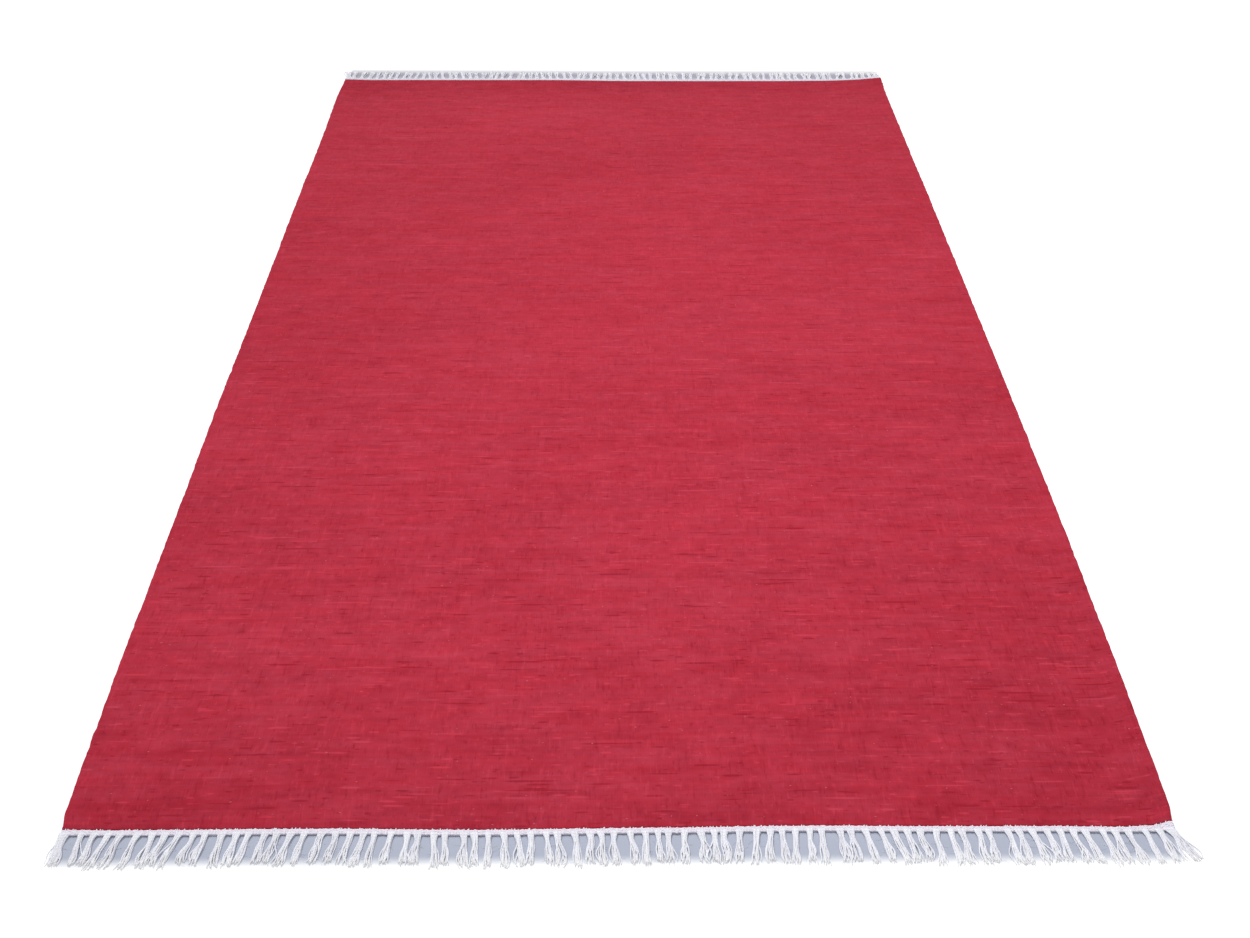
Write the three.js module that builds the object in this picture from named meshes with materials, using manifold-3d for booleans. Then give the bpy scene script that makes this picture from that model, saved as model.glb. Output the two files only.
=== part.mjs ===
// A flat-woven dhurrie rug: one red weft-faced field, and at each end a white heading with its fringe of locks.
// Units are millimetres. +X runs along the weft, +Y along the warp and +Z up, and the rug lies on z = 0.
// The origin is the middle of the field on the floor. The near end is at -Y and the far end at +Y.

import * as THREE from 'three';
import { mergeVertices } from 'three/addons/utils/BufferGeometryUtils.js';
import Module from 'manifold-3d';

// Driving dimensions
const fieldWidth = 1520;
const fieldLength = 2440;
const clothThickness = 4;
const selvedgeRounding = 1.4;
const headingGap = 0.3;
const headingDepth = 8.5;
const headingThickness = 5;
const headingRounding = 1.2;
const lockCount = 80;
const lockLength = { near: 52, far: 58 };
const rootInset = 4;
const tipClearance = 2.6;

// Spread of the locks about their usual form, in millimetres, degrees or shares
const rootSpread = 3.4;
const lengthSpread = 4;
const leanSpread = 5;
const girthSpread = 0.14;
const swaySpread = 1.4;
const bow = 0.35;
const cornerWidening = 1.6;
const lockTopShare = 0.55;

// Steps along the outlines and over the rounded edges
const sideSteps = 22;
const endSteps = 32;
const selvedgeSteps = 2;
const headingSteps = 1;
const weldDistance = 1e-3;

// How far the two sides stand out from straight, along the rug; plus is outward.
const sideWander = [
  { along: -1220, left: -6, right: -9 },
  { along: -1190, left: -3, right: -5 },
  { along: -1100, left: -1, right: -3 },
  { along: -900, left: 1, right: 0 },
  { along: -600, left: 1, right: 3 },
  { along: -250, left: 2.5, right: 3 },
  { along: 50, left: 0.5, right: 1 },
  { along: 500, left: 0, right: -2 },
  { along: 850, left: -3, right: -5 },
  { along: 1100, left: -1, right: -7 },
  { along: 1220, left: -5, right: -8 },
];

// How far the two ends stand out from straight, across the rug; plus is outward.
// The hem columns are for the heading's outer edge, which runs on straight where a corner draws back.
const endWander = [
  { along: -760, near: -1, nearHem: -1, far: 3, farHem: 3 },
  { along: -680, near: 0, nearHem: 0, far: -1, farHem: -1 },
  { along: -420, near: -1, nearHem: -1, far: 0.5, farHem: 0.5 },
  { along: -190, near: 2, nearHem: 2, far: 2, farHem: 2 },
  { along: 60, near: 0, nearHem: 0, far: -3, farHem: -3 },
  { along: 250, near: -2, nearHem: -2, far: -2, farHem: -2 },
  { along: 450, near: 0, nearHem: 0, far: -0.5, farHem: -0.5 },
  { along: 580, near: 0.5, nearHem: 0.5, far: 2, farHem: 2 },
  { along: 690, near: 2.2, nearHem: 2.2, far: 6, farHem: 6 },
  { along: 730, near: 0, nearHem: 1.5, far: 9, farHem: 8 },
  { along: 760, near: -7, nearHem: -1.5, far: 12, farHem: 10 },
];

// The locks' lean in degrees across each end; plus leans towards +X.
const lockFan = [
  { along: -750, near: -3, far: -2 },
  { along: -700, near: -9, far: 1 },
  { along: -600, near: -10, far: 4 },
  { along: -520, near: -6, far: -2 },
  { along: -440, near: -9, far: -5 },
  { along: -350, near: -9, far: 2 },
  { along: -290, near: -3, far: 3 },
  { along: -200, near: 5, far: -4 },
  { along: -60, near: 6, far: 2 },
  { along: 70, near: 3, far: 0 },
  { along: 170, near: -2, far: -3 },
  { along: 250, near: 1, far: 2 },
  { along: 340, near: 9, far: 5 },
  { along: 440, near: 3, far: -2 },
  { along: 500, near: 5, far: -2 },
  { along: 570, near: 10, far: 2 },
  { along: 650, near: 8, far: 3 },
  { along: 700, near: 14, far: 5 },
  { along: 750, near: 12, far: 2 },
];

// A lock's sections from its root in the heading to its tip
const lockSections = [
  { share: 0, width: 13, height: 3.8 },
  { share: 0.15, width: 8.2, height: 4.4 },
  { share: 0.45, width: 8.6, height: 4 },
  { share: 0.78, width: 10.6, height: 3.2 },
  { share: 1, width: 9.6, height: 2 },
];

// Materials, one for the red wool weft and one for the bare cotton warp
const redWeft = new THREE.MeshStandardMaterial({ color: '#bd3748', roughness: 0.92, metalness: 0 });
const whiteWarp = new THREE.MeshStandardMaterial({ color: '#ece9f2', roughness: 0.95, metalness: 0 });

// A column's value in a table of rows with an along column, eased from row to row
function eased(table, column, at) {
  const after = table.findIndex((row) => row.along >= at);
  if (after < 0) return table.at(-1)[column];
  if (after === 0) return table[0][column];
  const [a, b] = [table[after - 1], table[after]];
  return THREE.MathUtils.lerp(a[column], b[column], THREE.MathUtils.smoothstep(at, a.along, b.along));
}

// A repeatable number from -1 to 1 for one lock of an end and one of its traits
const traits = { root: 1, girth: 2, length: 3, lean: 4, sway: 5 };
const farTraitShift = 10;
const scatter = { perLock: 12.9898, perTrait: 78.233, stretch: 43758.5453 };
function uneven(lock, end, trait) {
  const number = traits[trait] + (end < 0 ? 0 : farTraitShift);
  const wave = Math.sin(lock * scatter.perLock + number * scatter.perTrait) * scatter.stretch;
  return 2 * (wave - Math.floor(wave)) - 1;
}

// Where a point of the rug lies, given its place on a straight-edged one
function lie(x, y, atHem = false) {
  const acrossShare = Math.min(1, Math.abs(x) / (fieldWidth / 2));
  const alongShare = Math.min(1, Math.abs(y) / (fieldLength / 2));
  const endName = (y < 0 ? 'near' : 'far') + (atHem ? 'Hem' : '');
  const outX = eased(sideWander, x < 0 ? 'left' : 'right', y) * acrossShare;
  const outY = eased(endWander, endName, x) * alongShare;
  return new THREE.Vector2(x + Math.sign(x) * outX, y + Math.sign(y) * outY);
}

// Evenly spaced places from one value to another, without the last
function spaced(from, to, steps) {
  return Array.from({ length: steps }, (_, i) => THREE.MathUtils.lerp(from, to, i / steps));
}

// A closed plan outline raised to a thickness, with its edges rounded over, standing on z = 0
function slab(outline, thickness, rounding, roundingSteps) {
  const geometry = new THREE.ExtrudeGeometry(new THREE.Shape(outline), {
    depth: thickness - 2 * rounding,
    steps: 1,
    bevelThickness: rounding,
    bevelSize: rounding,
    bevelOffset: -rounding,
    bevelSegments: roundingSteps,
  });
  return geometry.translate(0, 0, rounding);
}

// The woven field, one flat sheet with slightly wandering edges
function wovenField() {
  const [halfX, halfY] = [fieldWidth / 2, fieldLength / 2];
  const outline = [
    ...spaced(-halfX, halfX, endSteps).map((x) => lie(x, -halfY)),
    ...spaced(-halfY, halfY, sideSteps).map((y) => lie(halfX, y)),
    ...spaced(halfX, -halfX, endSteps).map((x) => lie(x, halfY)),
    ...spaced(halfY, -halfY, sideSteps).map((y) => lie(-halfX, y)),
  ];
  return slab(outline, clothThickness, selvedgeRounding, selvedgeSteps);
}

// The white twined heading that closes one end, a narrow strip just clear of the field
function headingStrip(end) {
  const halfX = fieldWidth / 2;
  const inner = fieldLength / 2 + headingGap;
  const outer = inner + headingDepth;
  const outline = [
    ...spaced(-halfX, halfX, endSteps).map((x) => lie(x, end * outer, true)),
    lie(halfX, end * outer, true),
    ...spaced(halfX, -halfX, endSteps).map((x) => lie(x, end * inner)),
    lie(-halfX, end * inner),
  ];
  return slab(end < 0 ? outline : outline.reverse(), headingThickness, headingRounding, headingSteps);
}

// The form of each lock of one end: its root, girth and length, and how far its tip lies to the side.
// A tip that would touch the one before it is moved along until it is clear.
function lockForms(end) {
  const endName = end < 0 ? 'near' : 'far';
  const pitch = fieldWidth / lockCount;
  const tipWidth = Math.max(...lockSections.slice(1).map((section) => section.width));
  const forms = [];
  for (let lock = 0; lock < lockCount; lock += 1) {
    const atCorner = lock === 0 || lock === lockCount - 1;
    const straightX = -fieldWidth / 2 + pitch * (lock + 0.5) + rootSpread * uneven(lock, end, 'root');
    const root = lie(straightX, end * (fieldLength / 2 + headingGap + headingDepth - rootInset), true);
    const girth = (1 + girthSpread * uneven(lock, end, 'girth')) * (atCorner ? cornerWidening : 1);
    const length = lockLength[endName] + lengthSpread * uneven(lock, end, 'length');
    const lean = eased(lockFan, endName, straightX) + leanSpread * uneven(lock, end, 'lean');
    let tipX = root.x + length * Math.tan(THREE.MathUtils.degToRad(lean));
    if (lock > 0) {
      const before = forms[lock - 1];
      tipX = Math.max(tipX, before.tipX + (tipWidth / 2) * (before.girth + girth) + tipClearance);
    }
    forms.push({ root, girth, length, tipX, sway: swaySpread * uneven(lock, end, 'sway') });
  }
  return forms;
}

// One lock of warp ends: a four-sided bar lying on the floor, bowed and swaying from its root to its tip
function fringeLock(form, end) {
  const geometry = new THREE.BoxGeometry(1, 1, 1, 1, lockSections.length - 1, 1);
  const position = geometry.attributes.position;
  for (let i = 0; i < position.count; i += 1) {
    const step = Math.round((0.5 - position.getY(i)) * (lockSections.length - 1));
    const { share, width, height } = lockSections[step];
    const top = position.getZ(i) > 0;
    const side = end < 0 ? position.getX(i) : -position.getX(i);
    const half = side * width * form.girth * (top ? lockTopShare : 1);
    const bowed = share + bow * share * (1 - share);
    const centre = (form.tipX - form.root.x) * bowed + form.sway * Math.sin(2 * Math.PI * share);
    const y = form.root.y + end * form.length * share;
    position.setXYZ(i, form.root.x + centre + half, y, top ? height : 0);
  }
  return geometry;
}

const manifold = await Module();
manifold.setup();

// A closed geometry as a solid that can be joined
function toSolid(geometry) {
  const bare = geometry.index ? geometry.toNonIndexed() : geometry.clone();
  bare.deleteAttribute('normal');
  bare.deleteAttribute('uv');
  const merged = mergeVertices(bare, weldDistance);
  return new manifold.Manifold(
    new manifold.Mesh({
      numProp: 3,
      vertProperties: merged.attributes.position.array,
      triVerts: new Uint32Array(merged.index.array),
    }),
  );
}

// A joined solid as a geometry again
function toGeometry(solid) {
  const mesh = solid.getMesh();
  const geometry = new THREE.BufferGeometry();
  geometry.setAttribute('position', new THREE.BufferAttribute(mesh.vertProperties, 3));
  geometry.setIndex(new THREE.BufferAttribute(mesh.triVerts, 1));
  geometry.computeVertexNormals();
  return geometry;
}

// One end's heading with every lock fused to it at the root
function headingWithFringe(end) {
  let solid = toSolid(headingStrip(end));
  for (const form of lockForms(end)) {
    solid = solid.add(toSolid(fringeLock(form, end)));
  }
  return toGeometry(solid);
}

function named(name, geometry, material) {
  const mesh = new THREE.Mesh(geometry, material);
  mesh.name = name;
  return mesh;
}

const rug = new THREE.Group();
rug.add(named('woven_field', wovenField(), redWeft));
rug.add(named('near_fringe', headingWithFringe(-1), whiteWarp));
rug.add(named('far_fringe', headingWithFringe(1), whiteWarp));

export default rug;
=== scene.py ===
# The looks of a flat-woven dhurrie rug: a red weft-faced cloth, white twined headings and loose fringe.
# Everything is in metres. +X runs along the weft, +Y along the warp and +Z up, and the rug lies on z = 0.

import math

import bmesh
import bpy
import numpy as np
from mathutils import Matrix


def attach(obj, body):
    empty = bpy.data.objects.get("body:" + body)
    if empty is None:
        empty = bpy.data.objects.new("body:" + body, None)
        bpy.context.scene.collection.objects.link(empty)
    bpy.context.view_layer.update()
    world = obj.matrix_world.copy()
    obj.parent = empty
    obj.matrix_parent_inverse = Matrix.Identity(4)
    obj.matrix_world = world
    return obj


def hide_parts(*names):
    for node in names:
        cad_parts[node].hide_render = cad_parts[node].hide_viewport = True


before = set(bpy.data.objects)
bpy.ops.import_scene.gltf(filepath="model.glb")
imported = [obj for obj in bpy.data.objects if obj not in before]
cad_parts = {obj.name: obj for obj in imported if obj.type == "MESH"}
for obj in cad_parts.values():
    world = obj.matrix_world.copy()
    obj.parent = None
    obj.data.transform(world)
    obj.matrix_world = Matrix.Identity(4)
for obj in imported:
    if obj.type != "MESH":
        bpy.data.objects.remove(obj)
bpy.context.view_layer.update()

MM = 0.001
NEAR = -1
FAR = 1

# The rug's own sizes, as the solids have them
FIELD_WIDTH = 1.520
FIELD_LENGTH = 2.440
CLOTH_THICKNESS = 4 * MM
HEADING_GAP = 0.3 * MM
HEADING_DEPTH = 8.5 * MM
LOCK_COUNT = 80
LOCK_LENGTH = {"near": 52 * MM, "far": 58 * MM}
ROOT_INSET = 4 * MM
LOCK_WIDTH = 10.6 * MM
TIP_CLEARANCE = 2.6 * MM

# Spread of the locks about their usual form
ROOT_SPREAD = 3.4 * MM
LENGTH_SPREAD = 4 * MM
LEAN_SPREAD = 5
GIRTH_SPREAD = 0.14
SWAY_SPREAD = 1.4 * MM
BOW = 0.35
CORNER_WIDENING = 1.6

# How far the two sides stand out from straight, along the rug, in mm; plus is outward.
SIDE_WANDER = [
    {"along": -1220, "left": -6, "right": -9},
    {"along": -1190, "left": -3, "right": -5},
    {"along": -1100, "left": -1, "right": -3},
    {"along": -900, "left": 1, "right": 0},
    {"along": -600, "left": 1, "right": 3},
    {"along": -250, "left": 2.5, "right": 3},
    {"along": 50, "left": 0.5, "right": 1},
    {"along": 500, "left": 0, "right": -2},
    {"along": 850, "left": -3, "right": -5},
    {"along": 1100, "left": -1, "right": -7},
    {"along": 1220, "left": -5, "right": -8},
]

# How far the two ends stand out from straight, across the rug, in mm; plus is outward.
# The hem columns are for the heading's outer edge, which runs on straight where a corner draws back.
END_WANDER = [
    {"along": -760, "near": -1, "nearHem": -1, "far": 3, "farHem": 3},
    {"along": -680, "near": 0, "nearHem": 0, "far": -1, "farHem": -1},
    {"along": -420, "near": -1, "nearHem": -1, "far": 0.5, "farHem": 0.5},
    {"along": -190, "near": 2, "nearHem": 2, "far": 2, "farHem": 2},
    {"along": 60, "near": 0, "nearHem": 0, "far": -3, "farHem": -3},
    {"along": 250, "near": -2, "nearHem": -2, "far": -2, "farHem": -2},
    {"along": 450, "near": 0, "nearHem": 0, "far": -0.5, "farHem": -0.5},
    {"along": 580, "near": 0.5, "nearHem": 0.5, "far": 2, "farHem": 2},
    {"along": 690, "near": 2.2, "nearHem": 2.2, "far": 6, "farHem": 6},
    {"along": 730, "near": 0, "nearHem": 1.5, "far": 9, "farHem": 8},
    {"along": 760, "near": -7, "nearHem": -1.5, "far": 12, "farHem": 10},
]

# The locks' lean in degrees across each end; plus leans towards +X.
LOCK_FAN = [
    {"along": -750, "near": -3, "far": -2},
    {"along": -700, "near": -9, "far": 1},
    {"along": -600, "near": -10, "far": 4},
    {"along": -520, "near": -6, "far": -2},
    {"along": -440, "near": -9, "far": -5},
    {"along": -350, "near": -9, "far": 2},
    {"along": -290, "near": -3, "far": 3},
    {"along": -200, "near": 5, "far": -4},
    {"along": -60, "near": 6, "far": 2},
    {"along": 70, "near": 3, "far": 0},
    {"along": 170, "near": -2, "far": -3},
    {"along": 250, "near": 1, "far": 2},
    {"along": 340, "near": 9, "far": 5},
    {"along": 440, "near": 3, "far": -2},
    {"along": 500, "near": 5, "far": -2},
    {"along": 570, "near": 10, "far": 2},
    {"along": 650, "near": 8, "far": 3},
    {"along": 700, "near": 14, "far": 5},
    {"along": 750, "near": 12, "far": 2},
]

# How far a lock's yarns spread, in mm, at shares of its length from its root in the heading to its tip
YARN_SPREAD = [
    {"share": 0, "near": 13.0, "far": 16.0},
    {"share": 0.13, "near": 10.8, "far": 14.2},
    {"share": 0.21, "near": 9.3, "far": 12.0},
    {"share": 0.36, "near": 9.3, "far": 10.6},
    {"share": 0.58, "near": 11.8, "far": 11.8},
    {"share": 0.82, "near": 14.4, "far": 14.4},
    {"share": 1, "near": 15.0, "far": 15.0},
]

# Outermost locks whose loose yarns part from their solids: how much farther towards +X their tips lie, in mm,
# and the share of the usual spread that they keep
OUTER_LOCKS = [
    {"end": "near", "lock": 79, "farther": 8, "spread": 0.8},
    {"end": "far", "lock": 0, "farther": -9, "spread": 1},
    {"end": "far", "lock": 1, "farther": -6, "spread": 1},
    {"end": "far", "lock": 2, "farther": -3, "spread": 1},
]

# Soft swells where the cloth doesn't quite lie down, and the far right corner that lifts, in mm
SWELLS = [
    {"x": -420, "y": -700, "across": 260, "along": 180, "height": 1.2},
    {"x": 330, "y": -380, "across": 300, "along": 220, "height": 1.0},
    {"x": -180, "y": 240, "across": 340, "along": 200, "height": 1.3},
    {"x": 520, "y": 520, "across": 200, "along": 260, "height": 1.1},
    {"x": -560, "y": 860, "across": 220, "along": 200, "height": 1.2},
    {"x": 120, "y": 980, "across": 300, "along": 130, "height": 0.8},
    {"x": 700, "y": -960, "across": 110, "along": 190, "height": 1.2},
    {"x": 775, "y": 1240, "across": 90, "along": 70, "height": 6.0},
]

# The cloth
RIB_PITCH = 3.8 * MM
PICK_PITCH = 2.4 * MM
EDGE_STEPS = [0, 0.5 * MM, 1.2 * MM, 2.4 * MM, 6.0 * MM]
FIELD_COLUMNS = 62
FIELD_ROWS = 500
SELVEDGE_WIDTH = 6 * MM
SELVEDGE_BEAD = 0.3 * MM
SELVEDGE_WOBBLE = 0.6 * MM
QUICK_WOBBLE = 0.9
SLOW_WOBBLE = 0.4
EDGE_ROUNDING = 1.8 * MM
RIM_SHARE = 0.25

# The headings' thin web
WEB_COLUMNS = 240
WEB_ROWS = [-0.5, -0.44, -0.3, 0, 0.3, 0.44, 0.5]
WEB_THICKNESS = 2.9 * MM
WEB_LIFT = 0.1 * MM
WEB_ROUNDING = 2.0 * MM

# The twined rows on the web: each row's place as a share of the heading's depth, and its two strands
# Each end's range of tones for the heading; the far end's darker range is painted shade.
HEADING_TONES_FAR_SHADED = {"near": (0.1, 1.0), "far": (0.0, 0.3)}
ROW_SHARES = [0.25, 0.53, 0.82]
STRANDS_PER_ROW = 2
STRAND_SIDES = 6
STRAND_STEP = 1.6 * MM
STRAND_RADIUS = 1.2 * MM
STRAND_SINK = 0.25 * MM
TWINE_PITCH = 8.6 * MM
TWINE_SHARE = 0.085
TWINE_HEIGHT = 0.3 * MM

# The stitches where the warp leaves the red cloth
STITCHES_PER_LOCK = 3
STITCH_RINGS = 5
STITCH_RADIUS = 0.85 * MM
STITCH_OVER_RED = (-1.3 * MM, 0.5 * MM)
STITCH_OVER_WHITE = 2.4 * MM
STITCH_LEAN = 0.6 * MM
STITCH_RISE = 0.6 * MM
STITCH_HEIGHT = 3.2 * MM
STITCH_FALL = 0.7 * MM
STITCH_MARGIN = 4 * MM

# The loose yarns of the locks
YARNS_PER_LOCK = 10
YARNS_IN_CORNER_LOCK = 18
YARN_SIDES = 5
YARN_RINGS = 17
YARN_RADIUS = 1.05 * MM
YARN_GIRTHS = (0.85, 1.15)
# Each end's range of yarn tones; the far end's darker range is painted shade.
YARN_TONES_FAR_SHADED = {"near": (0.35, 1.0), "far": (0.1, 0.9)}
YARN_EXTRA_LENGTH = (-0.10, 0.03)
YARN_WANDER = 0.30
YARN_SPLAY = 1.3 * MM
YARN_CURL = 0.8 * MM
YARN_TWIST = 3
LOOSE_SHARE = {"near": 0.15, "far": 0.25}
LOOSE_REACH = 7 * MM
UPPER_LAYER_SPREAD = 0.75
ROOT_HEIGHT = 2.7 * MM
ROOT_LAYER_RISE = 0.5 * MM

# The fine fibres among them
FIBRES_PER_LOCK = 9
FIBRES_IN_CORNER_LOCK = 16
FIBRE_SIDES = 3
FIBRE_RINGS = 5
FIBRE_RADIUS = 0.2 * MM
FIBRE_STARTS = (0.25, 0.97)
FIBRE_LENGTHS = (5 * MM, 13 * MM)
FIBRE_HEIGHTS = (0.5 * MM, 2.6 * MM)
FIBRE_TURN = 38
FIBRE_CURVE = 0.35


chance = np.random.default_rng(8)


def eased(table, column, at):
    """A column's value in mm or degrees in a table with an along column, eased from row to row."""
    along = np.array([row["along"] for row in table]) * MM
    value = np.array([row[column] for row in table], float)
    at = np.clip(at, along[0], along[-1])
    after = np.clip(np.searchsorted(along, at), 1, len(along) - 1)
    share = (at - along[after - 1]) / (along[after] - along[after - 1])
    share = share * share * (3 - 2 * share)
    return value[after - 1] + (value[after] - value[after - 1]) * share


def smooth(low, high, at):
    """0 below low, 1 above high and eased between."""
    share = np.clip((at - low) / (high - low), 0, 1)
    return share * share * (3 - 2 * share)


# The number of each of a lock's traits, and the waves that make them uneven
TRAITS = {"root": 1, "girth": 2, "length": 3, "lean": 4, "sway": 5}
FAR_TRAIT_SHIFT = 10
PER_LOCK = 12.9898
PER_TRAIT = 78.233
STRETCH = 43758.5453


def uneven(lock, end, trait):
    """A repeatable number from -1 to 1 for one trait of one lock, as the solids have it."""
    number = TRAITS[trait] + (0 if end < 0 else FAR_TRAIT_SHIFT)
    wave = math.sin(lock * PER_LOCK + number * PER_TRAIT) * STRETCH
    return 2 * (wave - math.floor(wave)) - 1


def lie(x, y, at_hem=False):
    """Where points of the rug lie, given their places on a straight-edged one."""
    x = np.asarray(x, float)
    y = np.asarray(y, float)
    across_share = np.minimum(1, np.abs(x) / (FIELD_WIDTH / 2))
    along_share = np.minimum(1, np.abs(y) / (FIELD_LENGTH / 2))
    hem = "Hem" if at_hem else ""
    out_x = np.where(x < 0, eased(SIDE_WANDER, "left", y), eased(SIDE_WANDER, "right", y))
    out_y = np.where(y < 0, eased(END_WANDER, "near" + hem, x), eased(END_WANDER, "far" + hem, x))
    return x + np.sign(x) * out_x * across_share * MM, y + np.sign(y) * out_y * along_share * MM


def rise(x, y):
    """How far the rug's underside stands off the floor at a place."""
    height = np.zeros(np.broadcast(x, y).shape)
    for swell in SWELLS:
        across = (x - swell["x"] * MM) / (swell["across"] * MM)
        along = (y - swell["y"] * MM) / (swell["along"] * MM)
        height = height + swell["height"] * MM * np.exp(-(across**2) - along**2)
    return height


def lock_forms(end):
    """Each lock's root, girth, length and tip, as the solids have them but for the outer locks."""
    end_name = "near" if end < 0 else "far"
    pitch = FIELD_WIDTH / LOCK_COUNT
    forms = []
    for lock in range(LOCK_COUNT):
        at_corner = lock in (0, LOCK_COUNT - 1)
        straight_x = -FIELD_WIDTH / 2 + pitch * (lock + 0.5) + ROOT_SPREAD * uneven(lock, end, "root")
        straight_y = end * (FIELD_LENGTH / 2 + HEADING_GAP + HEADING_DEPTH - ROOT_INSET)
        root_x, root_y = (float(v) for v in lie(straight_x, straight_y, True))
        girth = (1 + GIRTH_SPREAD * uneven(lock, end, "girth")) * (CORNER_WIDENING if at_corner else 1)
        length = LOCK_LENGTH[end_name] + LENGTH_SPREAD * uneven(lock, end, "length")
        fan = float(eased(LOCK_FAN, end_name, straight_x))
        lean = math.radians(fan + LEAN_SPREAD * uneven(lock, end, "lean"))
        tip_x = root_x + length * math.tan(lean)
        if forms:
            before = forms[-1]
            clear_x = before["tip_x"] + LOCK_WIDTH / 2 * (before["girth"] + girth) + TIP_CLEARANCE
            tip_x = max(tip_x, clear_x)
        sway = SWAY_SPREAD * uneven(lock, end, "sway")
        forms.append(
            {
                "root_x": root_x,
                "root_y": root_y,
                "girth": girth,
                "length": length,
                "tip_x": tip_x,
                "sway": sway,
                "corner": at_corner,
                "loose_share": LOOSE_SHARE[end_name],
            }
        )
    for row in OUTER_LOCKS:
        if row["end"] == end_name:
            forms[row["lock"]]["tip_x"] += row["farther"] * MM
            forms[row["lock"]]["girth"] *= row["spread"]
    return forms


def add_piece(name, mesh, material, replaced=()):
    """Puts a finished mesh in the scene as a piece of the rug."""
    mesh.materials.append(material)
    piece = bpy.data.objects.new(name, mesh)
    bpy.context.scene.collection.objects.link(piece)
    mesh.polygons.foreach_set("use_smooth", np.ones(len(mesh.polygons), bool))
    mesh.update()
    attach(piece, "root")
    if replaced:
        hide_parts(*replaced)
    return piece


# The woven cloth and the heading's web


def stepped(length, steps, edge_steps):
    """Places along a length about its middle, evenly spaced but for finer steps at both ends."""
    edge = np.array(edge_steps)
    middle = np.linspace(edge[-1], length - edge[-1], steps + 1)
    return np.concatenate([edge[:-1], middle, length - edge[-2::-1]]) - length / 2


def round_over(distance, rounding):
    """The share of the full thickness that a cloth has at a distance from its edge."""
    share = np.clip(distance / rounding, 0, 1)
    return np.maximum(RIM_SHARE, np.sqrt(1 - (1 - share) ** 2))


def closed_sheet(name, columns, rows):
    """A closed flat shell on a grid, with each point's column, row and side (1 above, -1 below)."""
    bm = bmesh.new()
    bmesh.ops.create_grid(bm, x_segments=len(columns) - 1, y_segments=len(rows) - 1, size=0.5)
    lower = bmesh.ops.duplicate(bm, geom=bm.verts[:] + bm.edges[:] + bm.faces[:])["geom"]
    lower_faces = [part for part in lower if isinstance(part, bmesh.types.BMFace)]
    lower_verts = [part for part in lower if isinstance(part, bmesh.types.BMVert)]
    bmesh.ops.reverse_faces(bm, faces=lower_faces)
    bmesh.ops.translate(bm, vec=(0, 0, -1), verts=lower_verts)
    rims = [edge for edge in bm.edges if edge.is_boundary]
    bmesh.ops.bridge_loops(bm, edges=rims)
    mesh = bpy.data.meshes.new(name)
    bm.to_mesh(mesh)
    bm.free()
    grid = np.empty(len(mesh.vertices) * 3)
    mesh.vertices.foreach_get("co", grid)
    grid = grid.reshape(-1, 3)
    column = np.rint((grid[:, 0] + 0.5) * (len(columns) - 1)).astype(int)
    row = np.rint((grid[:, 1] + 0.5) * (len(rows) - 1)).astype(int)
    return mesh, column, row, np.where(grid[:, 2] < -0.5, -1, 1)


def place_points(mesh, placed, weave_x, weave_y):
    """Moves a mesh's points and maps its weave in metres."""
    mesh.vertices.foreach_set("co", placed.ravel())
    corners = np.empty(len(mesh.loops), int)
    mesh.loops.foreach_get("vertex_index", corners)
    weave = mesh.uv_layers.new(name="weave")
    weave.data.foreach_set("uv", np.stack([weave_x, weave_y], axis=1)[corners].ravel())


def wobble(count):
    """An uneven edge: small steps from one turn of the weft to the next, over slower drifts."""
    quick = np.convolve(chance.normal(0, 1, count), (0.2, 0.6, 0.2), "same")
    slow = np.convolve(chance.normal(0, 1, count), np.hanning(9) / 2.2, "same")
    return QUICK_WOBBLE * quick + SLOW_WOBBLE * slow


def cloth_mesh():
    """The red field: one thin closed sheet with rounded, slightly beaded and uneven selvedges."""
    columns = stepped(FIELD_WIDTH, FIELD_COLUMNS, EDGE_STEPS)
    rows = stepped(FIELD_LENGTH, FIELD_ROWS, EDGE_STEPS)
    mesh, column, row, face = closed_sheet("woven_field_cloth", columns, rows)
    straight_x = columns[column]
    straight_y = rows[row]
    side_distance = FIELD_WIDTH / 2 - np.abs(straight_x)
    end_distance = FIELD_LENGTH / 2 - np.abs(straight_y)
    body = round_over(side_distance, EDGE_ROUNDING) * round_over(end_distance, EDGE_ROUNDING)
    bead = SELVEDGE_BEAD * (1 - smooth(0.5 * SELVEDGE_WIDTH, SELVEDGE_WIDTH, side_distance))
    half = (CLOTH_THICKNESS / 2 - SELVEDGE_BEAD + bead) * body
    left_edge = wobble(len(rows))
    right_edge = wobble(len(rows))
    edge = np.where(straight_x < 0, -left_edge[row], right_edge[row])
    edge = edge * SELVEDGE_WOBBLE * (1 - smooth(0, 1.4 * SELVEDGE_WIDTH, side_distance))
    x, y = lie(straight_x, straight_y)
    middle = rise(x, y) + CLOTH_THICKNESS / 2
    placed = np.stack([x + edge, y, middle + face * half], axis=1)
    place_points(mesh, placed, straight_x + FIELD_WIDTH / 2, straight_y + FIELD_LENGTH / 2)
    return mesh


def heading_point(end, straight_x, share_out):
    """Where a point of a heading lies, from its inner edge on the field to its outer edge."""
    inner = end * (FIELD_LENGTH / 2 + HEADING_GAP)
    outer = end * (FIELD_LENGTH / 2 + HEADING_GAP + HEADING_DEPTH)
    inner_x, inner_y = lie(straight_x, np.full_like(straight_x, inner))
    outer_x, outer_y = lie(straight_x, np.full_like(straight_x, outer), True)
    return inner_x + (outer_x - inner_x) * share_out, inner_y + (outer_y - inner_y) * share_out


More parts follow.
